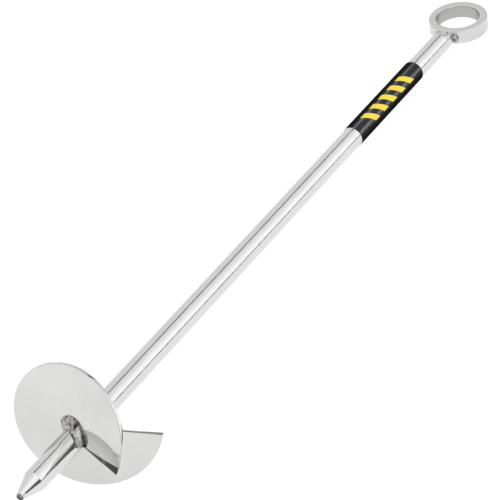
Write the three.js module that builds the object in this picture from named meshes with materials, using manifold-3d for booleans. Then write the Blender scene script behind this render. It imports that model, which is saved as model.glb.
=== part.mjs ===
// Ground anchor auger: a round bar with a pencil point, a one-turn earth plate welded round its lower
// end, a closed eye welded to its flattened upper end and a plastic grip sleeve below the eye.
// Millimetres.
//
// The pieces are drawn upright in an inner group: the point at the origin, the bar rising along +Z and
// the eye's flat faces square to Y. The outer group then lays the tool down the way it rests on a
// floor: the bar along +X from point to eye, carried on the plate's rim and on the eye.
import * as THREE from "three";
import { mergeVertices } from "three/addons/utils/BufferGeometryUtils.js";
import Module from "manifold-3d";

// ---- driving dimensions -------------------------------------------------------------------------
const GAP = 0.3; // between pieces that are welded or pressed together

const BAR_R = 6.35; // half-inch round bar
const POINT = [
  // pencil point: [height above the very tip, radius]
  [0, 1.05],
  [0.25, 1.5],
  [0.7, 1.84],
  [7, 3.99],
  [12.9, 6.0],
  [13.7, 6.22],
  [14.6, 6.33],
  [15.6, 6.35],
];

const EYE_R = 18.1; // outside radius of the eye
const EYE_BORE_R = 13.1; // radius of its hole
const EYE_H = 8.6; // height between its flat faces
const EYE_CHAMFER = 0.7;
const EYE_Z = 469.6; // centre of the eye above the point
const FLAT_LEN = 8.0; // over this length the bar's end is pressed flat to the height of the eye

const PLATE_R = 40; // radius of the flat disc that the plate was cut from
const PLATE_T = 2; // sheet thickness
const PLATE_BORE_R = BAR_R + GAP;
const PLATE_LEAD_DEG = 178.5; // where the leading edge points
const PLATE_SPAN_DEG = 329.6; // left-handed: the plate climbs clockwise as seen from the eye
const RIM_Z0 = 25.5; // the rim's mean climb: height at the leading edge ...
const RIM_CLIMB = 66.1; // ... and climb over a full turn
const RIM_WAVE = [-6.53, -16.0, -0.37, 0.28]; // cos, sin, cos 2, sin 2 of the angle
const BORE_Z_LEAD = 45.1; // the plate's inner edge on the bar, at its leading end
const BORE_Z_TRAIL = 63.2; // and at its trailing end, before ...
const TRAIL_DIP = 2.2; // ... the last stretch that is pulled down towards the point
const TRAIL_RIM_DIP = 2.0; // the trailing corner of the rim is knocked down too
const TRAIL_SPREAD_DEG = 4.4; // and round by this much

const BEAD_LOWER = { bar: 4.4, plate: 3.4 }; // legs of the bead on the point's side of the plate
const BEAD_UPPER = { bar: 2.9, plate: 2.7 }; // and of the one on the eye's side
const BEAD_INSET_DEG = 9; // they stop this far short of the plate's ends

const SLEEVE_Z = [335.5, 410.5]; // plastic sleeve on the bar
const SLEEVE_T = 0.3;
const SLEEVE_CLEAR = 0.1;

const SEGMENTS = 48;

// ---- helpers ------------------------------------------------------------------------------------
const wasm = await Module();
wasm.setup();
const RAD = Math.PI / 180;
const ALONG_Y = new THREE.Matrix4().makeRotationX(Math.PI / 2); // a lathe turns round Y: this stands it on Z

function bare(geometry) {
  const g = geometry.clone();
  for (const name of Object.keys(g.attributes))
    if (name !== "position") g.deleteAttribute(name);
  return mergeVertices(g, 1e-4);
}
function toSolid(geometry) {
  const g = bare(geometry);
  return new wasm.Manifold(
    new wasm.Mesh({
      numProp: 3,
      vertProperties: new Float32Array(g.attributes.position.array),
      triVerts: new Uint32Array(g.index.array),
    }),
  );
}
function toGeometry(solid) {
  const m = solid.getMesh();
  const v = new Float32Array(m.numVert * 3);
  for (let i = 0; i < m.numVert; i++)
    v.set(m.vertProperties.subarray(i * m.numProp, i * m.numProp + 3), i * 3);
  const g = new THREE.BufferGeometry();
  g.setAttribute("position", new THREE.BufferAttribute(v, 3));
  g.setIndex(new THREE.BufferAttribute(new Uint32Array(m.triVerts), 1));
  return g;
}
// A solid of revolution about Z from [z, r] pairs, low z first.
function turned(profile, segments = SEGMENTS) {
  const pts = profile.map(([z, r]) => new THREE.Vector2(r, z));
  return bare(new THREE.LatheGeometry(pts, segments).applyMatrix4(ALONG_Y));
}
// A closed body from sections that all hold the same number of points, each section a closed loop.
function lofted(sections) {
  const n = sections[0].length;
  const v = [],
    t = [];
  for (const s of sections) for (const p of s) v.push(...p);
  for (let i = 0; i + 1 < sections.length; i++)
    for (let j = 0; j < n; j++) {
      const a = i * n + j,
        b = i * n + ((j + 1) % n),
        c = a + n,
        d = b + n;
      t.push(a, b, d, a, d, c);
    }
  for (const [s, flip] of [
    [0, true],
    [sections.length - 1, false],
  ]) {
    const flat = sections[s].map((p) => new THREE.Vector3(...p));
    const x = flat[1].clone().sub(flat[0]).normalize();
    const nrm = new THREE.Vector3();
    for (let j = 0; j < n; j++)
      nrm.add(flat[j].clone().sub(flat[0]).cross(flat[(j + 1) % n].clone().sub(flat[0])));
    nrm.normalize();
    const y = nrm.clone().cross(x);
    const outline = flat.map((p) => new THREE.Vector2(p.dot(x), p.dot(y)));
    for (const [a, b, c] of THREE.ShapeUtils.triangulateShape(outline, []))
      t.push(...(flip ? [a, c, b] : [a, b, c]).map((k) => s * n + k));
  }
  const g = new THREE.BufferGeometry();
  g.setAttribute("position", new THREE.BufferAttribute(new Float32Array(v), 3));
  g.setIndex(t);
  return g;
}
function outward(geometry) {
  const p = geometry.attributes.position,
    ix = geometry.index.array;
  let six = 0;
  const a = new THREE.Vector3(),
    b = new THREE.Vector3(),
    c = new THREE.Vector3();
  for (let i = 0; i < ix.length; i += 3) {
    a.fromBufferAttribute(p, ix[i]);
    b.fromBufferAttribute(p, ix[i + 1]);
    c.fromBufferAttribute(p, ix[i + 2]);
    six += a.dot(b.cross(c));
  }
  if (six < 0)
    for (let i = 0; i < ix.length; i += 3) [ix[i + 1], ix[i + 2]] = [ix[i + 2], ix[i + 1]];
  return geometry;
}
const ellipsoid = (rx, ry, rz, x, y, z) =>
  bare(new THREE.SphereGeometry(1, 16, 10).scale(rx, ry, rz).translate(x, y, z));

// ---- the plate's surface ------------------------------------------------------------------------
// u runs from 0 at the leading edge to 1 at the trailing edge. The sheet was a flat disc, slit and
// pulled apart, so its inner edge climbs little on the bar while the corners of its rim are bent far
// down and far up, which draws them in towards the bar.
const plateAngle = (u) =>
  (PLATE_LEAD_DEG - (PLATE_SPAN_DEG + TRAIL_SPREAD_DEG * u ** 8) * u) * RAD;
const boreZ = (u) => BORE_Z_LEAD + (BORE_Z_TRAIL - BORE_Z_LEAD) * u - TRAIL_DIP * u ** 4;
function rimZ(u) {
  const a = -(PLATE_LEAD_DEG - PLATE_SPAN_DEG * u) * RAD;
  const [c1, s1, c2, s2] = RIM_WAVE;
  return (
    RIM_Z0 + (RIM_CLIMB * PLATE_SPAN_DEG * u) / 360 +
    c1 * Math.cos(a) + s1 * Math.sin(a) + c2 * Math.cos(2 * a) + s2 * Math.sin(2 * a) -
    TRAIL_RIM_DIP * u ** 16
  );
}
const rimR = (u) => BAR_R + Math.sqrt((PLATE_R - BAR_R) ** 2 - (rimZ(u) - boreZ(u)) ** 2);
// w runs from 0 at the bore to 1 at the rim.
function platePoint(u, w, lift) {
  const a = plateAngle(u);
  const r = PLATE_BORE_R + (rimR(u) - PLATE_BORE_R) * w;
  const z = boreZ(u) + (rimZ(u) - boreZ(u)) * w + lift;
  return [r * Math.cos(a), r * Math.sin(a), z];
}

// ---- pieces -------------------------------------------------------------------------------------
function bar() {
  const top = EYE_Z - EYE_R;
  const shaped = turned([
    [0, 0],
    ...POINT,
    [top * 0.35, BAR_R],
    [top * 0.7, BAR_R],
    ...[0, 0.15, 0.3, 0.45, 0.6, 0.75, 0.9, 1].map((f) => [top + FLAT_LEN * (f - 1), BAR_R]),
    [top + 3, BAR_R],
    [top + 3, 0],
  ]);
  // the end is flattened until it is as high as the eye, so that the two blend
  const p = shaped.attributes.position;
  for (let i = 0; i < p.count; i++) {
    const f = Math.min(1, Math.max(0, (p.getZ(i) - (top - FLAT_LEN)) / FLAT_LEN));
    p.setY(i, p.getY(i) * (1 - (1 - EYE_H / 2 / BAR_R) * f * f * (3 - 2 * f)));
  }
  // and hollowed to fit against the eye's outer wall
  const saddle = toSolid(
    bare(new THREE.CylinderGeometry(EYE_R + GAP, EYE_R + GAP, 40, 96)).translate(0, 0, EYE_Z),
  );
  return toGeometry(toSolid(shaped).subtract(saddle));
}

function eye() {
  const h = EYE_H / 2,
    c = EYE_CHAMFER;
  const profile = [
    [EYE_BORE_R, -h + c],
    [EYE_BORE_R + c, -h],
    [EYE_R - c, -h],
    [EYE_R, -h + c],
    [EYE_R, h - c],
    [EYE_R - c, h],
    [EYE_BORE_R + c, h],
    [EYE_BORE_R, h - c],
    [EYE_BORE_R, -h + c],
  ].map(([r, y]) => new THREE.Vector2(r, y));
  return outward(bare(new THREE.LatheGeometry(profile, 72))).translate(0, 0, EYE_Z);
}

function plate() {
  const stations = 80,
    across = 4,
    t = PLATE_T,
    e = 0.45 / (PLATE_R - BAR_R);
  const sections = [];
  for (let i = 0; i <= stations; i++) {
    const u = i / stations,
      s = [];
    for (let j = 0; j <= across; j++) s.push(platePoint(u, ((1 - e) * j) / across, 0));
    s.push(platePoint(u, 1, t * 0.25), platePoint(u, 1, t * 0.75));
    for (let j = across; j >= 0; j--) s.push(platePoint(u, ((1 - e) * j) / across, t));
    sections.push(s);
  }
  return outward(lofted(sections));
}

// A weld bead in the corner between the bar and one face of the plate; side is -1 on the point's side.
function plateBead(side, u0, u1, leg, phase) {
  const stations = 44,
    sections = [];
  for (let i = 0; i <= stations; i++) {
    const f = i / stations,
      u = u0 + (u1 - u0) * f;
    const swell = 1 + 0.13 * Math.sin(f * 29 + phase) + 0.07 * Math.sin(f * 53 + 2 * phase);
    const end = Math.min(1, 0.45 + 3.2 * Math.sqrt(Math.min(f, 1 - f)));
    const L = leg.bar * swell * end;
    const w = (leg.plate * swell * end) / (rimR(u) - PLATE_BORE_R);
    const lift = side < 0 ? -GAP : PLATE_T + GAP;
    const foot = platePoint(u, 0, lift),
      toe = platePoint(u, w, lift);
    const crown = (along, off) => {
      const p = foot.map((v, k) => v + off * (toe[k] - v));
      p[2] += side * L * along;
      return p;
    };
    sections.push([foot, toe, crown(0.4, 0.9), crown(0.7, 0.7), crown(0.92, 0.4), crown(1.04, 0)]);
  }
  return outward(lofted(sections));
}

// The blobs where the bead wraps the plate's two cut ends.
function endWeld(rx, rt, rz, deg, r, z) {
  const a = deg * RAD;
  const blob = toSolid(
    ellipsoid(rx, rt, rz, 0, 0, 0).rotateZ(a).translate(r * Math.cos(a), r * Math.sin(a), z),
  );
  return toGeometry(blob.subtract(toSolid(turned([[0, 0], [0, BAR_R + GAP], [120, BAR_R + GAP], [120, 0]]))));
}

// The beads in the two corners between the bar's sides and the eye's outer wall.
function eyeWeld(x, rx, ry, rz, dy) {
  const blob = toSolid(ellipsoid(rx, ry, rz, x, dy, EYE_Z - EYE_R - 0.3));
  const barCut = toSolid(turned([[400, 0], [400, BAR_R + GAP], [470, BAR_R + GAP], [470, 0]]));
  const eyeCut = toSolid(
    bare(new THREE.CylinderGeometry(EYE_R + GAP, EYE_R + GAP, 40, 96)).translate(0, 0, EYE_Z),
  );
  return toGeometry(blob.subtract(barCut).subtract(eyeCut));
}

function sleeve() {
  const r0 = BAR_R + SLEEVE_CLEAR,
    r1 = r0 + SLEEVE_T,
    [z0, z1] = SLEEVE_Z,
    c = 0.2;
  const profile = [
    [r0, z0],
    [r1 - c, z0],
    [r1, z0 + c],
    [r1, z1 - c],
    [r1 - c, z1],
    [r0, z1],
    [r0, z0],
  ].map(([r, z]) => new THREE.Vector2(r, z));
  return outward(bare(new THREE.LatheGeometry(profile, SEGMENTS).applyMatrix4(ALONG_Y)));
}

// ---- assembly -----------------------------------------------------------------------------------
const bright = new THREE.MeshStandardMaterial({ color: 0xd9dadb, metalness: 1, roughness: 0.16 });
const brightPlate = new THREE.MeshStandardMaterial({ color: 0xd2d3d4, metalness: 1, roughness: 0.22 });
const weldMetal = new THREE.MeshStandardMaterial({ color: 0xa9a7a3, metalness: 1, roughness: 0.4 });
const blackPlastic = new THREE.MeshStandardMaterial({ color: 0x0c0c0d, metalness: 0, roughness: 0.3 });

const upright = new THREE.Group();
function add(name, geometry, material) {
  const mesh = new THREE.Mesh(geometry, material);
  mesh.name = name;
  upright.add(mesh);
  return mesh;
}
const inset = BEAD_INSET_DEG / PLATE_SPAN_DEG;
add("shaft", bar(), bright);
add("helix_blade", plate(), brightPlate);
add("eye_ring", eye(), bright);
add("grip_sleeve", sleeve(), blackPlastic);
add("weld_blade_lower", plateBead(-1, inset, 1 - inset, BEAD_LOWER, 0.4), weldMetal);
add("weld_blade_upper", plateBead(1, inset, 1 - inset, BEAD_UPPER, 2.1), weldMetal);
add("weld_lead_end", endWeld(2.9, 2.2, 3.3, PLATE_LEAD_DEG + 20, BAR_R + 1.1, BORE_Z_LEAD + 0.4), weldMetal);
add("weld_trail_end", endWeld(2.6, 2.0, 3.0, PLATE_LEAD_DEG - PLATE_SPAN_DEG - TRAIL_SPREAD_DEG - 18, BAR_R + 0.9, BORE_Z_TRAIL - TRAIL_DIP + 1.6), weldMetal);
add("weld_eye_left", eyeWeld(-(BAR_R + 0.7), 2.3, 3.2, 2.6, 0.1), weldMetal);
add("weld_eye_right", eyeWeld(BAR_R + 0.9, 2.4, 3.4, 2.5, -0.1), weldMetal);

// Laid down: the bar points along +X and dips towards the eye until the rim and the eye both touch
// the floor; then the whole is centred over the origin.
function laid(tilt) {
  const c = Math.cos(tilt),
    s = Math.sin(tilt);
  // upright x -> +Y, upright y -> up, upright z -> along the floor, dipping
  return new THREE.Matrix4().makeBasis(
    new THREE.Vector3(0, 1, 0),
    new THREE.Vector3(s, 0, c),
    new THREE.Vector3(c, 0, -s),
  );
}
function lowest(mesh, m) {
  const p = mesh.geometry.attributes.position,
    v = new THREE.Vector3();
  let low = Infinity;
  for (let i = 0; i < p.count; i++) low = Math.min(low, v.fromBufferAttribute(p, i).applyMatrix4(m).z);
  return low;
}
const blade = upright.getObjectByName("helix_blade"),
  ring = upright.getObjectByName("eye_ring");
let lo = 0,
  hi = 0.3;
for (let i = 0; i < 50; i++) {
  const mid = (lo + hi) / 2,
    m = laid(mid);
  if (lowest(ring, m) > lowest(blade, m)) lo = mid;
  else hi = mid;
}
upright.applyMatrix4(laid((lo + hi) / 2));

const auger = new THREE.Group();
auger.name = "soil_auger";
auger.add(upright);
auger.updateMatrixWorld(true);
const box = new THREE.Box3().setFromObject(auger, true);
auger.position.set(-(box.min.x + box.max.x) / 2, -(box.min.y + box.max.y) / 2, -box.min.z);

export default auger;
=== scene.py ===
import math

import bpy
import numpy as np
from mathutils import Matrix, Vector, noise


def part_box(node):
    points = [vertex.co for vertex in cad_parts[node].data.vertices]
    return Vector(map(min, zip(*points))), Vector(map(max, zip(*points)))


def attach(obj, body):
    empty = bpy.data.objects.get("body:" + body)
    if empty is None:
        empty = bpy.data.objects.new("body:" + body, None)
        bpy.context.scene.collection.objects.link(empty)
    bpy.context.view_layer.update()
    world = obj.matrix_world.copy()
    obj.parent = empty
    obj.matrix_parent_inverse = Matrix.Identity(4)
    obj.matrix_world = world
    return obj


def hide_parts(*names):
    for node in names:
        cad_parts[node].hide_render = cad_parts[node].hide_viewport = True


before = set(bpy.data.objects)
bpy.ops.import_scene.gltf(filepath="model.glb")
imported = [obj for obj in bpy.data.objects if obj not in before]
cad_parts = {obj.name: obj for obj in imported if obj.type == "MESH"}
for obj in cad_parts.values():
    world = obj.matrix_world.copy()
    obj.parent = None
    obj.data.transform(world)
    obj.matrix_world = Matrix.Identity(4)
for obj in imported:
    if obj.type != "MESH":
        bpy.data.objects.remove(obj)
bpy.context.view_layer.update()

# =================================================================================================
# Where things are. Shapes are worked out upright in millimetres (point at the origin, bar along +Z,
# the eye's faces square to Y) and laid down on the floor by the same turn as the CAD part.
# =================================================================================================
LAY_COS, LAY_SIN = 0.9965167546752776, 0.08339279136383881
LAY_OFF = (-243.10694251682267, -0.9057674407958984, 44.897311629363685)

BAR_R = 6.35
EYE_R, EYE_BORE_R, EYE_H, EYE_Z = 18.1, 13.1, 8.6, 469.6
PLATE_R, PLATE_T = 40.0, 2.0
LEAD_DEG, SPAN_DEG = 178.5, 329.6
RIM_Z0, RIM_CLIMB = 25.5, 66.1
RIM_WAVE = (-6.53, -16.0, -0.37, 0.28)
BORE_Z_LEAD, BORE_Z_TRAIL = 45.1, 63.2
SLEEVE_Z = (335.5, 410.5)
SLEEVE_R = BAR_R + 0.15
TRAIL_DIP, TRAIL_RIM_DIP, TRAIL_SPREAD_DEG = 2.2, 2.0, 4.4
FLAT_LEN = 8.0  # the bar's end is pressed flat to the eye's height over this length


def lay(P):
    """Upright millimetres to the row frame in metres."""
    P = np.asarray(P, float)
    x, y, z = P[..., 0], P[..., 1], P[..., 2]
    return (
        np.stack(
            [
                LAY_SIN * y + LAY_COS * z + LAY_OFF[0],
                x + LAY_OFF[1],
                LAY_COS * y - LAY_SIN * z + LAY_OFF[2],
            ],
            -1,
        )
        * 0.001
    )


# the laid-down bar has to lie in the CAD bar
_lo, _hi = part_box("shaft")
_tip = lay([0, 0, 0])
if abs(_tip[0] - (_lo[0])) > 0.002:
    raise RuntimeError("the laid-down bar is not where the CAD bar is: update LAY_*")


# =================================================================================================
# Mesh helpers
# =================================================================================================
def build(name, verts, faces, body="root", replaces=(), sharp=38.0, material=None):
    """A piece from upright millimetre vertices; edges sharper than `sharp` degrees stay crisp."""
    me = bpy.data.meshes.new(name)
    me.from_pydata([tuple(v) for v in lay(verts)], [], [tuple(int(i) for i in f) for f in faces])
    me.validate()
    me.update()
    ob = bpy.data.objects.new(name, me)
    bpy.context.scene.collection.objects.link(ob)
    finish_mesh(ob, sharp)
    if material is not None:
        me.materials.append(material)
    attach(ob, body)
    if replaces:
        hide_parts(*replaces)
    return ob


def finish_mesh(ob, sharp):
    """Normals out, smooth shading, sharp edges by angle."""
    import bmesh

    bm = bmesh.new()
    bm.from_mesh(ob.data)
    bmesh.ops.remove_doubles(bm, verts=bm.verts, dist=1e-7)
    bmesh.ops.recalc_face_normals(bm, faces=bm.faces)
    if bm.calc_volume(signed=True) < 0:
        bmesh.ops.reverse_faces(bm, faces=bm.faces)
    lim = math.radians(sharp)
    for f in bm.faces:
        f.smooth = True
    for e in bm.edges:
        if len(e.link_faces) == 2:
            e.smooth = e.calc_face_angle(0.0) < lim
    bm.to_mesh(ob.data)
    bm.free()
    ob.data.update()


def lathe(profile, segs, axis="z", closed=False):
    """Solid of revolution from (r, h) pairs; r = 0 at both ends unless closed."""
    prof = np.asarray(profile, float)
    V, F = [], []
    a = np.arange(segs) * 2 * math.pi / segs
    ring_ids = []
    for r, h in prof:
        if r < 1e-9:
            V.append((0, 0, h))
            ring_ids.append([len(V) - 1])
        else:
            base = len(V)
            V.extend((r * math.cos(t), r * math.sin(t), h) for t in a)
            ring_ids.append(list(range(base, base + segs)))
    pairs = list(zip(ring_ids[:-1], ring_ids[1:]))
    if closed:
        pairs.append((ring_ids[-1], ring_ids[0]))
    for A, B in pairs:
        for i in range(segs):
            j = (i + 1) % segs
            if len(A) == 1 and len(B) == 1:
                continue
            if len(A) == 1:
                F.append((A[0], B[j], B[i]))
            elif len(B) == 1:
                F.append((A[i], A[j], B[0]))
            else:
                F.append((A[i], A[j], B[j], B[i]))
    V = np.array(V, float)
    if axis == "y":  # turn the lathe's axis from Z to Y
        V = np.stack([V[:, 0], V[:, 2], -V[:, 1]], -1)
    return V, F


def loft(sections, cap=True):
    """Closed body from equal closed loops. Caps are triangle fans round their middle point."""
    S = np.asarray(sections, float)
    m, n = S.shape[:2]
    V = [p for s in S for p in s]
    F = []
    for i in range(m - 1):
        for j in range(n):
            k = (j + 1) % n
            F.append((i * n + j, i * n + k, (i + 1) * n + k, (i + 1) * n + j))
    if cap:
        for base, flip in ((0, True), ((m - 1) * n, False)):
            c = len(V)
            V.append(np.mean(S[base // n], 0))
            for j in range(n):
                k = (j + 1) % n
                F.append((base + k, base + j, c) if flip else (base + j, base + k, c))
    return np.array(V), F


def smooth_curve(points, n):
    """Monotone-ish cubic through (x, y) points, n samples even in x."""
    P = np.asarray(points, float)
    x, y = P[:, 0], P[:, 1]
    h = np.diff(x)
    dlt = np.diff(y) / h
    m = np.zeros(len(x))
    m[1:-1] = np.where(dlt[:-1] * dlt[1:] > 0, 2 * dlt[:-1] * dlt[1:] / (dlt[:-1] + dlt[1:] + 1e-12), 0)
    m[0], m[-1] = dlt[0], dlt[-1]
    t = np.linspace(x[0], x[-1], n)
    i = np.clip(np.searchsorted(x, t, "right") - 1, 0, len(h) - 1)
    s = (t - x[i]) / h[i]
    out = (
        (2 * s**3 - 3 * s**2 + 1) * y[i]
        + (s**3 - 2 * s**2 + s) * h[i] * m[i]
        + (-2 * s**3 + 3 * s**2) * y[i + 1]
        + (s**3 - s**2) * h[i] * m[i + 1]
    )
    return np.stack([t, out], 1)


def bumpy(x, y, z, scale, seed=0.0):
    return noise.noise(Vector((x * scale + seed, y * scale - seed * 0.7, z * scale + 3.1 * seed)))


def add_soot_and_painted_shade(ob, values):
    """Per-vertex darkness, 0 clean to 1 black, read by the plate and weld materials: heat scale, painted shade and
    painted dark reflection.
    """
    layer = ob.data.attributes.new("soot_and_painted_shade", "FLOAT", "POINT")
    layer.data.foreach_set("value", np.asarray(values, dtype=np.float32))


def apply_boolean(ob, cutter, operation="DIFFERENCE"):
    mod = ob.modifiers.new("cut", "BOOLEAN")
    mod.operation = operation
    mod.solver = "EXACT"
    mod.object = cutter
    bpy.context.view_layer.update()
    dg = bpy.context.evaluated_depsgraph_get()
    me = bpy.data.meshes.new_from_object(ob.evaluated_get(dg))
    ob.modifiers.clear()
    old = ob.data
    ob.data = me
    bpy.data.meshes.remove(old)
    bpy.data.objects.remove(cutter)


# =================================================================================================
# Materials
# =================================================================================================
def material(name):
    m = bpy.data.materials.new(name)
    m.use_nodes = True
    nt = m.node_tree
    nt.nodes.clear()
    out = nt.nodes.new("ShaderNodeOutputMaterial")
    b = nt.nodes.new("ShaderNodeBsdfPrincipled")
    nt.links.new(b.outputs["BSDF"], out.inputs["Surface"])
    return m, nt, b


class N:
    """Short-hand for wiring a node tree."""

    def __init__(self, nt):
        self.nt = nt
        self.tc = nt.nodes.new("ShaderNodeTexCoord")

    def _set(self, sock, v):
        if isinstance(v, bpy.types.NodeSocket):
            self.nt.links.new(v, sock)
        else:
            sock.default_value = v

    def map(self, scale=(1, 1, 1), loc=(0, 0, 0), rot=(0, 0, 0), src=None):
        n = self.nt.nodes.new("ShaderNodeMapping")
        n.inputs["Scale"].default_value = scale
        n.inputs["Location"].default_value = loc
        n.inputs["Rotation"].default_value = rot
        self._set(n.inputs["Vector"], src or self.tc.outputs["Object"])
        return n.outputs["Vector"]

    def noise(self, vec, scale, detail=4.0, rough=0.55, dist=0.0):
        n = self.nt.nodes.new("ShaderNodeTexNoise")
        n.inputs["Scale"].default_value = scale
        n.inputs["Detail"].default_value = detail
        n.inputs["Roughness"].default_value = rough
        n.inputs["Distortion"].default_value = dist
        self._set(n.inputs["Vector"], vec)
        return n.outputs["Fac"]

    def math(self, op, a, b=0.0, c=None, clamp=False):
        n = self.nt.nodes.new("ShaderNodeMath")
        n.operation = op
        n.use_clamp = clamp
        self._set(n.inputs[0], a)
        self._set(n.inputs[1], b)
        if c is not None:
            self._set(n.inputs[2], c)
        return n.outputs[0]

    def range(self, v, a, b, c, d, smooth=False):
        n = self.nt.nodes.new("ShaderNodeMapRange")
        n.interpolation_type = "SMOOTHSTEP" if smooth else "LINEAR"
        self._set(n.inputs["Value"], v)
        for k, x in zip(("From Min", "From Max", "To Min", "To Max"), (a, b, c, d)):
            n.inputs[k].default_value = x
        return n.outputs["Result"]

    def mix(self, fac, a, b):
        n = self.nt.nodes.new("ShaderNodeMix")
        n.data_type = "RGBA"
        self._set(n.inputs[0], fac)
        self._set(n.inputs[6], a)
        self._set(n.inputs[7], b)
        return n.outputs[2]

    def bump(self, height, strength, distance, normal=None):
        n = self.nt.nodes.new("ShaderNodeBump")
        n.inputs["Strength"].default_value = strength
        n.inputs["Distance"].default_value = distance
        self._set(n.inputs["Height"], height)
        if normal is not None:
            self._set(n.inputs["Normal"], normal)
        return n.outputs["Normal"]

    def xyz(self, vec):
        n = self.nt.nodes.new("ShaderNodeSeparateXYZ")
        self._set(n.inputs[0], vec)
        return n.outputs[0], n.outputs[1], n.outputs[2]


def along_bar(n):
    """Vector in metres with x along the bar, so that streaks can be stretched along it."""
    return n.map(rot=(0, math.asin(LAY_SIN), 0))


def steel_bar():
    m, nt, b = material("bar_steel")
    n = N(nt)
    v = along_bar(n)
    streak = n.noise(n.map(scale=(1.5, 160, 160), src=v), 9, 3, 0.6)
    cloud = n.noise(v, 22, 3, 0.5)
    fine = n.noise(n.map(scale=(6, 900, 900), src=v), 4, 2, 0.5)
    col = n.mix(n.range(cloud, 0.3, 0.7, 0, 1), (0.630, 0.630, 0.628, 1), (0.665, 0.665, 0.662, 1))
    # the very tip is darker and rougher than the rest
    px, py, pz = n.xyz(n.tc.outputs["Object"])
    nose = n.math("MULTIPLY", n.range(px, -0.24245, -0.24135, 1, 0, True),
                  n.range(n.noise(n.tc.outputs["Object"], 900, 3, 0.6), 0.35, 0.55, 0.35, 1.0))
    n._set(b.inputs["Base Color"], n.mix(nose, col, (0.06, 0.058, 0.055, 1)))
    b.inputs["Metallic"].default_value = 1.0
    r = n.math("ADD", n.range(streak, 0.3, 0.7, 0.05, 0.085), n.range(cloud, 0.3, 0.7, 0.0, 0.02))
    n._set(b.inputs["Roughness"], n.math("ADD", r, n.math("MULTIPLY", nose, 0.35)))
    n._set(b.inputs["Normal"], n.bump(fine, 0.06, 0.0001, n.bump(streak, 0.05, 0.0002)))
    return m


def steel_plate():
    m, nt, b = material("plate_steel")
    n = N(nt)
    cloud = n.noise(n.tc.outputs["Object"], 35, 4, 0.55, 0.4)
    fine = n.noise(n.tc.outputs["Object"], 420, 3, 0.6)
    col = n.mix(n.range(cloud, 0.3, 0.7, 0, 1), (0.585, 0.585, 0.580, 1), (0.650, 0.650, 0.645, 1))
    at = nt.nodes.new("ShaderNodeAttribute")
    at.attribute_name = "soot_and_painted_shade"
    n._set(b.inputs["Base Color"], n.mix(at.outputs["Fac"], col, (0.085, 0.083, 0.080, 1)))
    b.inputs["Metallic"].default_value = 1.0
    rough = n.math("ADD", n.range(cloud, 0.3, 0.7, 0.045, 0.075), n.range(fine, 0.3, 0.7, 0, 0.02))
    n._set(b.inputs["Roughness"], n.math("ADD", rough, n.range(at.outputs["Fac"], 0, 1, 0, 0.25)))
    n._set(b.inputs["Normal"], n.bump(cloud, 0.05, 0.0004))
    return m


def steel_ring():
    m, nt, b = material("ring_steel")
    n = N(nt)
    cloud = n.noise(n.tc.outputs["Object"], 60, 4, 0.55)
    fine = n.noise(n.tc.outputs["Object"], 700, 3, 0.6)
    col = n.mix(n.range(cloud, 0.3, 0.7, 0, 1), (0.585, 0.585, 0.582, 1), (0.645, 0.645, 0.642, 1))
    # painted shade: the bore's colour is darker than the rest, with a grain, and the bore is rougher too
    c = lay([0, 0, EYE_Z])
    px, py, pz = n.xyz(n.tc.outputs["Object"])
    dx, dy = n.math("SUBTRACT", px, float(c[0])), n.math("SUBTRACT", py, float(c[1]))
    rad = n.math("SQRT", n.math("ADD", n.math("MULTIPLY", dx, dx), n.math("MULTIPLY", dy, dy)))
    bore = n.range(rad, 0.01325, 0.01365, 1, 0, True)
    grain = n.noise(n.map(scale=(30, 30, 1200)), 12, 3, 0.6)
    bore_grain_and_painted_shade = n.mix(n.range(grain, 0.3, 0.7, 0, 1), (0.38, 0.378, 0.373, 1), (0.50, 0.498, 0.492, 1))
    # painted dark reflection: darker still on two sides
    side = n.math("ABSOLUTE", n.math("DIVIDE", n.math("SUBTRACT", n.math("MULTIPLY", dx, 0.51), n.math("MULTIPLY", dy, 0.86)), rad))
    bore_grain_and_painted_shade = n.mix(n.range(side, 0.78, 0.99, 0, 0.45, True), bore_grain_and_painted_shade, (0.13, 0.129, 0.126, 1))
    n._set(b.inputs["Base Color"], n.mix(bore, col, bore_grain_and_painted_shade))
    b.inputs["Metallic"].default_value = 1.0
    n._set(b.inputs["Roughness"], n.math("ADD", n.range(cloud, 0.3, 0.7, 0.20, 0.30), n.math("MULTIPLY", bore, 0.08)))
    n._set(b.inputs["Normal"], n.bump(fine, 0.08, 0.0001))
    return m


def weld_metal():
    """Bright weld metal, blackened where the mesh's darkness layer says so: heat scale, and painted shade in the
    beads' toes and pits.
    """
    m, nt, b = material("weld_metal")
    n = N(nt)
    cloud = n.noise(n.tc.outputs["Object"], 260, 4, 0.6)
    fine = n.noise(n.tc.outputs["Object"], 1100, 4, 0.6)
    at = nt.nodes.new("ShaderNodeAttribute")
    at.attribute_name = "soot_and_painted_shade"
    soot_and_painted_shade = n.math("ADD", at.outputs["Fac"], n.range(fine, 0.35, 0.65, -0.12, 0.12), clamp=True)
    clean = n.mix(n.range(cloud, 0.35, 0.65, 0, 1, True), (0.40, 0.396, 0.388, 1), (0.56, 0.555, 0.547, 1))
    n._set(b.inputs["Base Color"], n.mix(soot_and_painted_shade, clean, (0.035, 0.033, 0.031, 1)))
    n._set(b.inputs["Metallic"], n.range(soot_and_painted_shade, 0.0, 1.0, 1.0, 0.5))
    n._set(b.inputs["Roughness"], n.math("ADD", n.range(cloud, 0.35, 0.65, 0.34, 0.20), n.range(soot_and_painted_shade, 0, 1, 0, 0.25)))
    n._set(b.inputs["Normal"], n.bump(fine, 0.22, 0.0002))
    return m


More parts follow.
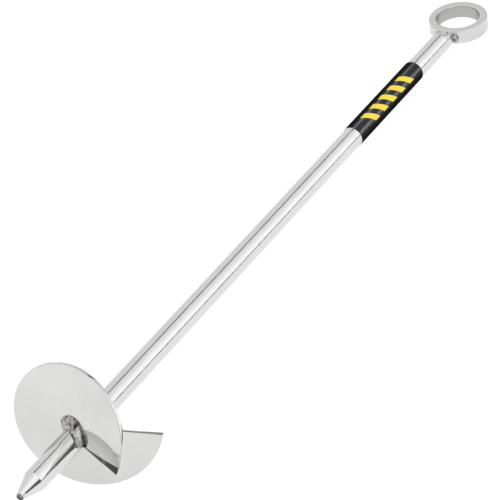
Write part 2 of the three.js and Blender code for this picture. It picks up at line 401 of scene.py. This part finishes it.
def black_sleeve():
    m, nt, b = material("sleeve_plastic")
    n = N(nt)
    v = along_bar(n)
    fine = n.noise(n.map(scale=(20, 260, 260), src=v), 5, 3, 0.6)
    cloud = n.noise(v, 60, 3, 0.5)
    n._set(b.inputs["Base Color"], n.mix(cloud, (0.003, 0.003, 0.0034, 1), (0.006, 0.006, 0.0065, 1)))
    n._set(b.inputs["Roughness"], n.range(fine, 0.3, 0.7, 0.28, 0.35))
    lw = nt.nodes.new("ShaderNodeLayerWeight")
    lw.inputs["Blend"].default_value = 0.5
    n._set(b.inputs["Specular IOR Level"], n.range(lw.outputs["Facing"], 0.20, 0.50, 0.20, 0.0, False))
    n._set(b.inputs["Normal"], n.bump(fine, 0.10, 0.0001))
    return m


def yellow_print():
    m, nt, b = material("print_yellow")
    n = N(nt)
    cloud = n.noise(n.tc.outputs["Object"], 500, 3, 0.6)
    n._set(b.inputs["Base Color"], n.mix(cloud, (0.70, 0.55, 0.03, 1), (0.78, 0.62, 0.045, 1)))
    n._set(b.inputs["Roughness"], n.range(cloud, 0.3, 0.7, 0.35, 0.5))
    return m


BAR, PLATE, RING, WELD, SLEEVE, PRINT = (
    steel_bar(), steel_plate(), steel_ring(), weld_metal(), black_sleeve(), yellow_print(),
)

# =================================================================================================
# The bar: pencil point, straight shank, upper end flattened and hollowed to the eye
# =================================================================================================
POINT = [(0.7, 1.84), (7.0, 3.99), (12.9, 6.0), (13.7, 6.22), (14.6, 6.33), (15.6, 6.35)]


def make_bar():
    top = EYE_Z - EYE_R
    prof = [(0.0, 0.10), (0.45, 0.0), (0.95, 0.03), (1.3, 0.14), (1.56, 0.34)]
    prof += [(r, z) for z, r in smooth_curve(POINT[:3], 44)]
    prof += [(r, z) for z, r in smooth_curve(POINT[2:], 24)[1:]]
    prof += [(BAR_R, z) for z in np.linspace(17.0, top - FLAT_LEN - 1, 60)]
    prof += [(BAR_R, z) for z in np.linspace(top - FLAT_LEN, top + 4, 49)]
    prof.append((0.0, top + 4.0))
    V, F = lathe(prof, 224)
    f = np.clip((V[:, 2] - (top - FLAT_LEN)) / FLAT_LEN, 0, 1)
    V[:, 1] *= 1 - (1 - EYE_H / 2 / BAR_R) * f * f * (3 - 2 * f)
    # the ground nose is a little out of true
    k = np.clip(1 - V[:, 2] / 3.0, 0, 1)
    wob = np.array([bumpy(x, y, z, 1.1, 3.0) for x, y, z in V[V[:, 2] < 3.0]])
    V[V[:, 2] < 3.0, 0] += k[V[:, 2] < 3.0] * (0.28 * wob - 0.12)
    V[V[:, 2] < 3.0, 2] += k[V[:, 2] < 3.0] * 0.5 * wob * np.clip(V[V[:, 2] < 3.0, 2], 0, 1)
    ob = build("bar_detail", V, F, replaces=("shaft",), material=BAR)
    # hollowed to fit the eye's outer wall, reaching over its broken edge
    V, F = lathe([(0, -12), (EYE_R - 0.72, -12), (EYE_R - 0.72, 12), (0, 12)], 288, axis="y")
    V[:, 2] += EYE_Z
    me = bpy.data.meshes.new("cut")
    me.from_pydata([tuple(v) for v in lay(V)], [], F)
    cut = bpy.data.objects.new("cut", me)
    bpy.context.scene.collection.objects.link(cut)
    finish_mesh(cut, 30)
    apply_boolean(ob, cut)
    finish_mesh(ob, 38)
    return ob


make_bar()


# =================================================================================================
# The eye
# =================================================================================================
def make_eye():
    h, c = EYE_H / 2, 0.75
    prof = []

    def arc(cx, cy, a0, a1, n=8, rad=c):
        for k in range(n + 1):
            a = math.radians(a0 + (a1 - a0) * k / n)
            prof.append((cx + rad * math.cos(a), cy + rad * math.sin(a)))

    ri, ro = EYE_BORE_R, EYE_R
    arc(ro - c, -h + c, -90, 0)
    for y in np.linspace(-h + c, h - c, 6)[1:-1]:
        prof.append((ro, y))
    arc(ro - c, h - c, 0, 90)
    arc(ri + c, h - c, 90, 180)
    for y in np.linspace(h - c, -h + c, 6)[1:-1]:
        prof.append((ri, y))
    arc(ri + c, -h + c, 180, 270)
    V, F = lathe(prof, 288, axis="y", closed=True)
    V[:, 2] += EYE_Z
    return build("eye_detail", V, F, replaces=("eye_ring",), material=RING)


make_eye()


# =================================================================================================
# The earth plate
# =================================================================================================
def plate_angle(u):
    return math.radians(LEAD_DEG - (SPAN_DEG + TRAIL_SPREAD_DEG * u**8) * u)


def bore_z(u):
    return BORE_Z_LEAD + (BORE_Z_TRAIL - BORE_Z_LEAD) * u - TRAIL_DIP * u**4


def rim_z(u):
    a = -math.radians(LEAD_DEG - SPAN_DEG * u)
    c1, s1, c2, s2 = RIM_WAVE
    return (RIM_Z0 + RIM_CLIMB * SPAN_DEG * u / 360 + c1 * math.cos(a) + s1 * math.sin(a)
            + c2 * math.cos(2 * a) + s2 * math.sin(2 * a) - TRAIL_RIM_DIP * u**16)


def rim_r(u):
    return BAR_R + math.sqrt((PLATE_R - BAR_R) ** 2 - (rim_z(u) - bore_z(u)) ** 2)


def face_point(u, w, r0=BAR_R - 0.4):
    a = plate_angle(u)
    r = r0 + (rim_r(u) - r0) * w
    w2 = (r - BAR_R) / (rim_r(u) - BAR_R)
    z = bore_z(u) + (rim_z(u) - bore_z(u)) * w2
    return np.array([r * math.cos(a), r * math.sin(a), z])


def face_normal(u, w):
    e = 1e-4
    du = face_point(u + e, w) - face_point(u - e, w)
    dw = face_point(u, w + e) - face_point(u, w - e)
    n = np.cross(du, dw)
    n /= np.linalg.norm(n)
    return n if n[2] > 0 else -n


LIP_WIDE = 3.1  # the leading corner is turned down a little: a long thin triangle


def lip(u, w):
    """How far the turned-down leading corner stands below the plain plate."""
    r = BAR_R + (rim_r(u) - BAR_R) * w
    wide = LIP_WIDE * max(0.0, (r - 9.5) / (PLATE_R - 9.5))
    s = wide - r * math.radians(SPAN_DEG) * max(0.0, u)
    if s <= 0:
        return 0.0
    turn = 6.5 + 5.0 * max(0.0, (PLATE_R - r) / 30)  # degrees, more towards the bar
    a, b = math.tan(math.radians(turn)), math.tan(math.radians(turn + 4.5))
    return s * a + (b - a) * s * s / (2 * wide)


def make_plate():
    t, rho = PLATE_T, 0.28
    ends = [0.0, 0.00012, 0.0004, 0.0008, 0.0013]
    inset_of = lambda d: rho - math.sqrt(max(0.0, rho * rho - (rho - min(rho, d)) ** 2))
    us = ends + list(np.linspace(0.0018, 0.034, 110)) + list(np.linspace(0.038, 0.996, 300)) + [1 - e for e in ends[::-1]]
    ws = np.linspace(0, 1, 60)
    sections = []
    for u in us:
        d = min(u, 1 - u) * math.radians(SPAN_DEG) * 36
        ins = inset_of(d)
        s = []
        pts = [face_point(u, w) for w in ws]
        if u < 0.04:
            for k, w in enumerate(ws):
                pts[k][2] -= lip(u, w)
        nrm = [face_normal(min(max(u, 1e-3), 1 - 1e-3), min(max(w, 1e-3), 1 - 1e-3)) for w in ws]
        out = pts[-1] - pts[-2]
        out /= np.linalg.norm(out)
        for p, q in zip(pts[:-1], nrm[:-1]):
            s.append(p + q * ins)
        # rounded rim
        for k in range(5):
            a = math.pi / 2 * k / 4
            s.append(pts[-1] + nrm[-1] * (ins + (rho) * (1 - math.cos(a))) + out * (-rho + rho * math.sin(a)))
        for k in range(5):
            a = math.pi / 2 * (1 - k / 4)
            s.append(pts[-1] + nrm[-1] * (t - ins - rho * (1 - math.cos(a))) + out * (-rho + rho * math.sin(a)))
        for p, q in zip(pts[-2::-1], nrm[-2::-1]):
            s.append(p + q * (t - ins))
        sections.append(s)
    V, F = loft(sections)
    ob = build("plate_detail", V, F, replaces=("helix_blade",), sharp=40, material=PLATE)
    # painted dark reflection along the turned-down lip near the bar, and heat scale in a faint halo round the weld
    soot_and_painted_shade = np.zeros(len(ob.data.vertices))
    for k, v in enumerate(ob.data.vertices):
        q = (v.co * 1000) - Vector(LAY_OFF)
        z = LAY_COS * q.x - LAY_SIN * q.z
        y = LAY_SIN * q.x + LAY_COS * q.z
        x = q.y
        r = math.hypot(x, y)
        az = math.degrees(math.atan2(y, x))
        if az < 0 and az < LEAD_DEG - SPAN_DEG - 5:
            az += 360
        # painted dark reflection: the lip near the bar is blackened
        if 150 < az < 181 and r < 29 and z < BORE_Z_LEAD + 3:
            s = r * math.radians(LEAD_DEG - az)
            wide = 0.5 + 2.4 * (r - 6.0) / 34
            soot_and_painted_shade[k] = 0.92 * min(1.0, max(0.0, (wide - s) / 0.5)) * min(1.0, max(0.0, (29 - r) / 5))
        # and on the burr along the trailing cut
        end = (math.degrees(math.atan2(y, x)) - (LEAD_DEG - SPAN_DEG - TRAIL_SPREAD_DEG)) % 360
        if 0.01 < end < 0.9 and z > (BORE_Z_LEAD + BORE_Z_TRAIL) / 2:
            soot_and_painted_shade[k] = 0.90 - 0.25 * max(0.0, r / 40 - 0.4)
        soot_and_painted_shade[k] = max(soot_and_painted_shade[k], 0.30 * math.exp(-(max(0.0, r - 10.5) / 1.3) ** 2) * (0.6 + 1.4 * abs(bumpy(x, y, z, 0.5, 2.0))))
    add_soot_and_painted_shade(ob, soot_and_painted_shade)
    return ob


make_plate()


# =================================================================================================
# Welds
# =================================================================================================
def table(points):
    """Smooth lookup by azimuth in degrees."""
    p = sorted(points)
    xs, ys = [q[0] for q in p], [q[1] for q in p]

    def at(az):
        k = int(np.clip(np.searchsorted(xs, az) - 1, 0, len(xs) - 2))
        f = min(1.0, max(0.0, (az - xs[k]) / (xs[k + 1] - xs[k])))
        f = f * f * (3 - 2 * f)
        return ys[k] * (1 - f) + ys[k + 1] * f

    return at


def bead(name, side, u0, u1, leg_bar, leg_plate, seed, replaces, pits=(), n_along=460, n_across=34, full=1.9,
         lumpy=0.30, ripple=0.13, pitch=1.5, dirt_and_painted_shade=0.75):
    """A heaped fillet bead along the plate's bore. leg_* go by azimuth; pits are (azimuth, share across,
    radius along, radius across, depth)."""
    sections, soot_and_painted_shade = [], []
    phase = 0.0
    for i in range(n_along + 1):
        f = i / n_along
        u = u0 + (u1 - u0) * f
        a = plate_angle(u)
        az = math.degrees(a)
        end = min(f, 1 - f) * abs(u1 - u0) * math.radians(SPAN_DEG) * 8.0
        taper = math.sqrt(max(0.0, 1 - (1 - min(1.0, end / 2.2)) ** 2))
        lb, lp = leg_bar(az) * (0.2 + 0.8 * taper), leg_plate(az) * (0.2 + 0.8 * taper)
        lift = 0.0 if side < 0 else PLATE_T
        wr = rim_r(u)
        uc = min(max(u, 1e-3), 1 - 1e-3)
        rr = np.array([math.cos(a), math.sin(a), 0.0])
        corner = face_point(u, 0.4 / (wr - BAR_R + 0.4)) + face_normal(uc, 0.05) * (lift - side * 0.12)
        foot = face_point(u, (lp + 0.4) / (wr - BAR_R + 0.4)) + face_normal(uc, 0.05) * (lift - side * 0.12)
        br = rr * (BAR_R - 0.06) + np.array([0, 0, corner[2] + side * lb])
        ex, ey = foot - corner, br - corner
        s = [corner - rr * 0.3 - np.array([0, 0, side * 0.25])]
        q = [0.0]
        phase += (u1 - u0) / n_along * math.radians(SPAN_DEG) * 8.0 / pitch * 2 * math.pi
        for k in range(n_across + 1):
            g = k / n_across
            th = math.pi / 2 * (1 - g)
            cx, cy = math.cos(th) ** (2 / full), math.sin(th) ** (2 / full)
            base = corner + ex * cx + ey * cy
            outn = ex / np.linalg.norm(ex) * cx + ey / np.linalg.norm(ey) * cy
            outn /= np.linalg.norm(outn)
            x, y, z = base
            hold = math.sin(math.pi * g) ** 0.6
            low, mid_n, fine_n = bumpy(x, y, z, 0.30, seed), bumpy(x, y, z, 0.85, seed + 5), bumpy(x, y, z, 2.3, seed + 8)
            rip = abs(math.sin(phase / 2 + 2.2 * (g - 0.5) ** 2 * 4 + 1.2 * mid_n)) - 0.6
            h = hold * (lumpy * (2.0 * low + 0.8 * mid_n + 0.22 * fine_n) + ripple * rip)
            front = 0.12 + 0.88 / (1 + math.exp(-(az - 88) / 6.0))
            side_on = 0.10 + 0.90 / (1 + math.exp(-(az - 126) / 5.0))
            wide = 0.10 + 0.16 / (1 + math.exp(-(az - 150) / 8.0))
            # painted shade in the bead's two toes, where it meets the bar and the plate
            dark = 1.35 * dirt_and_painted_shade * (front * math.exp(-((g / 0.19) ** 2)) + side_on * math.exp(-(((1 - g) / wide) ** 2)))
            dark += dirt_and_painted_shade * (0.55 + 0.45 * (1 - front)) * max(0.0, 2.2 * bumpy(x, y, z, 0.55, seed + 21) + 0.12)
            # darker in the ripples' troughs
            dark += dirt_and_painted_shade * 0.5 * max(0.0, -rip) * (0.5 + mid_n)
            for paz, pg, ra, rg, depth in pits:
                dd = (math.radians(az - paz) * 9.0 / ra) ** 2 + ((g - pg) * (lb + lp) * 0.8 / rg) ** 2
                h -= depth * math.exp(-(dd ** 1.5))
                h += 0.25 * depth * math.exp(-((math.sqrt(dd) - 1.5) / 0.35) ** 2)
                # painted shade in the pits
                dark += 1.3 * math.exp(-((dd / 1.1) ** 2))
            s.append(base + outn * h)
            q.append(min(1.0, max(0.0, dark)))
        # the foot at the plate's toe is fully dark: painted shade
        s.append(foot + face_normal(uc, 0.05) * (-side) * 0.2)
        q.append(1.0)
        sections.append(s)
        soot_and_painted_shade.append(q)
    V, F = loft(sections)
    ob = build(name, V, F, replaces=replaces, sharp=80, material=WELD)
    flat = [v for q in soot_and_painted_shade for v in q] + [0.8, 0.8]
    if len(ob.data.vertices) == len(flat):
        add_soot_and_painted_shade(ob, flat)
    else:  # matched by place, if merging took a vertex out
        from mathutils.kdtree import KDTree
        L = lay(V)
        kd = KDTree(len(L))
        for k, c in enumerate(L):
            kd.insert(tuple(c), k)
        kd.balance()
        add_soot_and_painted_shade(ob, [flat[kd.find(v.co)[1]] for v in ob.data.vertices])
    return ob


bead("weld_lower_detail", -1, -0.012, 0.978,
     table([(190, 3.4), (178, 4.0), (165, 4.0), (150, 4.7), (96, 4.7), (79, 4.0), (50, 3.1), (30, 3.5), (-60, 3.6), (-155, 3.2)]),
     table([(190, 2.4), (178, 2.7), (125, 2.8), (110, 3.2), (97, 4.0), (86, 5.2), (78, 5.2), (60, 5.0), (20, 5.0), (-10, 4.0),
            (-155, 3.3)]),
     1.3, ("weld_blade_lower", "weld_lead_end"), pits=((108, 0.76, 0.66, 1.05, 1.4), (58, 0.55, 0.5, 0.6, 0.5)))
bead("weld_upper_detail", 1, 0.012, 1.006,
     table([(190, 2.9), (120, 3.3), (60, 2.8), (0, 3.2), (-80, 2.9), (-165, 2.8)]),
     table([(190, 2.7), (130, 2.5), (40, 3.0), (-30, 2.6), (-165, 2.8)]),
     4.1, ("weld_blade_upper", "weld_trail_end"), lumpy=0.2, dirt_and_painted_shade=0.55)


def lump(name, centre, radii, seed, replaces, amp=0.25, dirt_and_painted_shade=0.5):
    nu, nv = 64, 32
    V, F = [], []
    for i in range(nv + 1):
        th = math.pi * i / nv
        for j in range(nu):
            ph = 2 * math.pi * j / nu
            d = np.array([math.sin(th) * math.cos(ph), math.sin(th) * math.sin(ph), math.cos(th)])
            k = 1 + amp * bumpy(*(d * 1.7), 1.0, seed) + amp * 0.5 * bumpy(*(d * 4.1), 1.0, seed + 3)
            V.append(np.array(centre) + d * np.array(radii) * k)
    for i in range(nv):
        for j in range(nu):
            k = (j + 1) % nu
            F.append((i * nu + j, i * nu + k, (i + 1) * nu + k, (i + 1) * nu + j))
    ob = build(name, np.array(V), F, replaces=replaces, sharp=70, material=WELD)
    add_soot_and_painted_shade(ob, [min(1.0, max(0.0, dirt_and_painted_shade * (0.5 + 1.6 * bumpy(*(v.co * 1000), 0.7, seed + 11)))) for v in ob.data.vertices])
    return ob


top = EYE_Z - EYE_R
lump("weld_eye_left_detail", (-(BAR_R + 0.1), 0.0, top + 0.9), (1.9, 3.3, 2.3), 2.0, ("weld_eye_left",), 0.28, 0.7)
lump("weld_eye_right_detail", (BAR_R - 0.45, 0.0, top + 1.0), (1.3, 2.7, 1.7), 7.0, ("weld_eye_right",), 0.12, 0.15)


# =================================================================================================
# Sleeve and its plain printed mark
# =================================================================================================
def make_sleeve():
    z0, z1 = SLEEVE_Z
    r0, r1 = BAR_R + 0.01, SLEEVE_R
    prof = [(r0, z0), (r1 - 0.12, z0), (r1 - 0.03, z0 + 0.04), (r1, z0 + 0.15)]
    prof += [(r1, z) for z in np.linspace(z0 + 1, z1 - 1, 60)]
    prof += [(r1, z1 - 0.15), (r1 - 0.03, z1 - 0.04), (r1 - 0.12, z1), (r0, z1)]
    V, F = lathe(prof, 160, closed=True)
    return build("sleeve_detail", V, F, replaces=("grip_sleeve",), material=SLEEVE)


SLEEVE_OB = make_sleeve()


def make_print():
    """Five plain slanted bars, on the side of the sleeve that shows."""
    V, F = [], []
    mid = math.radians(126)
    z0, z1 = SLEEVE_Z
    zc = (z0 + z1) / 2
    pitch, width, slant = 10.5, 5.2, 3.4
    half = 0.62  # half the arc, radians
    for k in range(5):
        c = zc + (k - 2) * pitch
        base = len(V)
        n, m = 24, 4
        for lift in (0.0, 0.05):
            for i in range(n + 1):
                a = -half + 2 * half * i / n
                for j in range(m + 1):
                    zz = c + slant * a / half + width * (j / m - 0.5)
                    r = SLEEVE_R + 0.005 + lift
                    V.append((r * math.cos(mid + a), r * math.sin(mid + a), zz))
        lay_n = (n + 1) * (m + 1)
        idx = lambda l, i, j: base + l * lay_n + i * (m + 1) + j
        for i in range(n):
            for j in range(m):
                F.append((idx(1, i, j), idx(1, i + 1, j), idx(1, i + 1, j + 1), idx(1, i, j + 1)))
                F.append((idx(0, i, j), idx(0, i, j + 1), idx(0, i + 1, j + 1), idx(0, i + 1, j)))
        for i in range(n):
            for j in (0, m):
                F.append((idx(0, i, j), idx(0, i + 1, j), idx(1, i + 1, j), idx(1, i, j)))
        for j in range(m):
            for i in (0, n):
                F.append((idx(0, i, j), idx(1, i, j), idx(1, i, j + 1), idx(0, i, j + 1)))
    return build("printed_mark", np.array(V), F, material=PRINT)


make_print()

# =================================================================================================
# Floor, light, camera
# =================================================================================================
me = bpy.data.meshes.new("floor")
me.from_pydata([(-6, -6, 0), (6, -6, 0), (6, 6, 0), (-6, 6, 0)], [], [(0, 1, 2, 3)])
floor = bpy.data.objects.new("floor", me)
bpy.context.scene.collection.objects.link(floor)
fm, fnt, fb = material("floor_pale")
nn = N(fnt)
fcl = nn.noise(nn.tc.outputs["Object"], 3.0, 2, 0.5)
nn._set(fb.inputs["Base Color"], nn.mix(fcl, (0.27, 0.27, 0.27, 1), (0.30, 0.30, 0.30, 1)))
fb.inputs["Roughness"].default_value = 0.9
fb.inputs["Specular IOR Level"].default_value = 0.0
# a light table: the floor glows, so that the object stands on white with only a faint shadow
fb.inputs["Emission Color"].default_value = (1.0, 1.0, 1.0, 1)
fb.inputs["Emission Strength"].default_value = 0.81
me.materials.append(fm)


def studio_world():
    """A white room round the object. Its brightness goes by the angle round the X axis (0 the near
    horizon, 90 overhead, 180 the far horizon), with a dark gap between two panels overhead, a thin one
    on the near horizon, and two dark cards by the point's end. The camera itself sees plain white."""
    w = bpy.data.worlds.new("studio")
    bpy.context.scene.world = w
    w.use_nodes = True
    nt = w.node_tree
    nt.nodes.clear()
    out = nt.nodes.new("ShaderNodeOutputWorld")
    room = nt.nodes.new("ShaderNodeBackground")
    plain = nt.nodes.new("ShaderNodeBackground")
    pick = nt.nodes.new("ShaderNodeMixShader")
    path = nt.nodes.new("ShaderNodeLightPath")
    nt.links.new(path.outputs["Is Camera Ray"], pick.inputs[0])
    nt.links.new(room.outputs[0], pick.inputs[1])
    nt.links.new(plain.outputs[0], pick.inputs[2])
    nt.links.new(pick.outputs[0], out.inputs["Surface"])
    plain.inputs[0].default_value = (1, 1, 1, 1)
    plain.inputs[1].default_value = 1.0
    n = N(nt)
    x, y, z = n.xyz(n.tc.outputs["Generated"])
    ang = n.math("ARCTAN2", z, n.math("MULTIPLY", y, -1.0))
    fac = n.math("DIVIDE", ang, math.pi)
    deg = n.math("MULTIPLY", ang, 180 / math.pi)
    ramp = nt.nodes.new("ShaderNodeValToRGB")
    nt.links.new(fac, ramp.inputs[0])
    top = 1.5
    stops = [(0, 0.16), (3.2, 0.16), (4.6, 1.38), (15, 1.46), (30, 1.44), (50, 1.27), (67, 1.13), (75, 1.09),
             (88, 1.02), (110, 0.97), (124, 0.96), (150, 0.96), (170, 0.92), (180, 0.92)]
    e = ramp.color_ramp.elements
    while len(e) > 1:
        e.remove(e[-1])
    e[0].position = stops[0][0] / 180
    e[0].color = (stops[0][1] / top,) * 3 + (1,)
    for a, v in stops[1:]:
        s = e.new(a / 180)
        s.color = (v / top, v / top, v / top, 1)
    def window(v, a0, a1, b1, b0):
        return n.math("MULTIPLY", n.range(v, a0, a1, 0, 1, True), n.range(v, b1, b0, 1, 0, True))

    # the gap between the two overhead panels, open only over the eye's end
    gap = n.math("MULTIPLY", window(deg, 99.6, 101.2, 109.4, 111.0), n.range(x, 0.10, 0.28, 0, 1, True))
    # the floor's far edge, darker over the eye's end
    edge = n.math("MULTIPLY", window(deg, -1.0, 0.0, 5.5, 6.9), n.range(x, 0.10, 0.28, 0, 1, True))
    # the camera's own dark corner, and a card low in front of the point
    corner = n.math("MULTIPLY", window(x, -0.76, -0.68, -0.425, -0.395), window(deg, 45, 53, 72, 84))
    card = n.math("MULTIPLY", window(x, -0.15, -0.10, 0.0, 0.035), n.range(deg, 26, 38, 1, 0, True))
    # a flag on the far side, seen in the plate's leading corner
    flag = n.math("MULTIPLY", window(x, -0.44, -0.38, -0.20, -0.14), window(deg, 148, 154, 173, 176))
    spot = n.math("MULTIPLY", window(x, -0.125, -0.105, -0.07, -0.04), window(deg, 104, 108, 119, 123))
    dark = n.math("MAXIMUM", n.math("MAXIMUM", n.math("MULTIPLY", gap, 0.90), n.math("MULTIPLY", corner, 0.80)),
                  n.math("MAXIMUM", n.math("MULTIPLY", card, 0.92), n.math("MULTIPLY", flag, 0.90)))
    dark = n.math("MAXIMUM", dark, n.math("MAXIMUM", n.math("MULTIPLY", spot, 0.85), n.math("MULTIPLY", edge, 0.88)))
    # the panels are brighter towards the point's end
    over = n.math("MULTIPLY", n.range(deg, 54, 60, 0, 1, True), n.range(x, -0.30, -0.22, 0.25, 1, True))
    lift = n.math("MULTIPLY", n.math("MULTIPLY", n.range(x, -0.20, 0.15, 0.70, 0.0, True), n.range(x, -0.60, -0.45, 0, 1, True)),
                  n.math("MULTIPLY", over, n.range(deg, 100, 150, 1.0, 0.3, True)))
    # and the room is dimmer at both ends
    ends = n.math("MULTIPLY", n.range(x, -0.66, -0.50, 0.74, 1.0, True), n.range(x, 0.77, 0.88, 1.0, 0.75, True))
    cards = n.math("MULTIPLY", n.math("SUBTRACT", 1.0, dark), n.math("MULTIPLY", ends, n.math("ADD", 1.0, lift)))
    light = n.nt.nodes.new("ShaderNodeMix")
    light.data_type = "RGBA"
    light.blend_type = "MULTIPLY"
    light.inputs[0].default_value = 1.0
    nt.links.new(ramp.outputs[0], light.inputs[6])
    nt.links.new(cards, light.inputs[7])
    nt.links.new(light.outputs[2], room.inputs[0])
    room.inputs[1].default_value = top


studio_world()


def area(name, loc, target, size, energy, glossy=False, depth=None):
    d = bpy.data.lights.new(name, "AREA")
    d.shape = "DISK" if depth is None else "RECTANGLE"
    d.size = size
    if depth is not None:
        d.size_y = depth
    d.energy = energy
    ob = bpy.data.objects.new(name, d)
    bpy.context.scene.collection.objects.link(ob)
    zz = (Vector(loc) - Vector(target)).normalized()
    xx = (Vector((1, 0, 0)) - zz * zz.x).normalized()
    yy = zz.cross(xx)
    ob.matrix_world = Matrix(((xx.x, yy.x, zz.x, loc[0]), (xx.y, yy.y, zz.y, loc[1]), (xx.z, yy.z, zz.z, loc[2]), (0, 0, 0, 1)))
    ob.visible_glossy = glossy
    ob.visible_camera = False
    return ob


area("key", (-0.6, -0.9, 2.2), (0, 0, 0), 2.0, 14)


def sleeve_strip(name, degrees, width, energy):
    """A long soft strip that only the sleeve takes light from."""
    a = math.radians(degrees)
    c = Vector((0.1286, -0.0009, 0.0136))
    r = Vector((0.60, -0.80 * math.cos(a), 0.80 * math.sin(a)))
    ob = area(name, c + 1.5 * r, c + 1.5 * r - Vector((0, r.y, r.z)), 1.6, energy, True, width)
    group = bpy.data.collections.new(name + "_on")
    group.objects.link(SLEEVE_OB)
    ob.light_linking.receiver_collection = group
    return ob


sleeve_strip("strip_back", 107.0, 0.46, 40.0)
sleeve_strip("strip_front", 15.0, 0.40, 40.0)

cam_data = bpy.data.cameras.new("camera")
cam = bpy.data.objects.new("camera", cam_data)
bpy.context.scene.collection.objects.link(cam)
cam_data.sensor_width = 36.0
cam_data.lens = 172.656
cam_data.clip_start, cam_data.clip_end = 0.05, 60
right = Vector((0.5013706, -0.846102, -0.1809391))
up = Vector((0.6221141, 0.2071829, 0.7550161))
back = Vector((-0.6013331, -0.4911077, 0.6302474))
cam.matrix_world = Matrix((
    (right.x, up.x, back.x, -0.815646),
    (right.y, up.y, back.y, -0.647081),
    (right.z, up.z, back.z, 0.854687),
    (0, 0, 0, 1),
))
bpy.context.scene.camera = cam

vs = bpy.context.scene.view_settings
vs.view_transform = "Standard"
vs.look = "None"
vs.exposure = 0.0
vs.gamma = 1.0
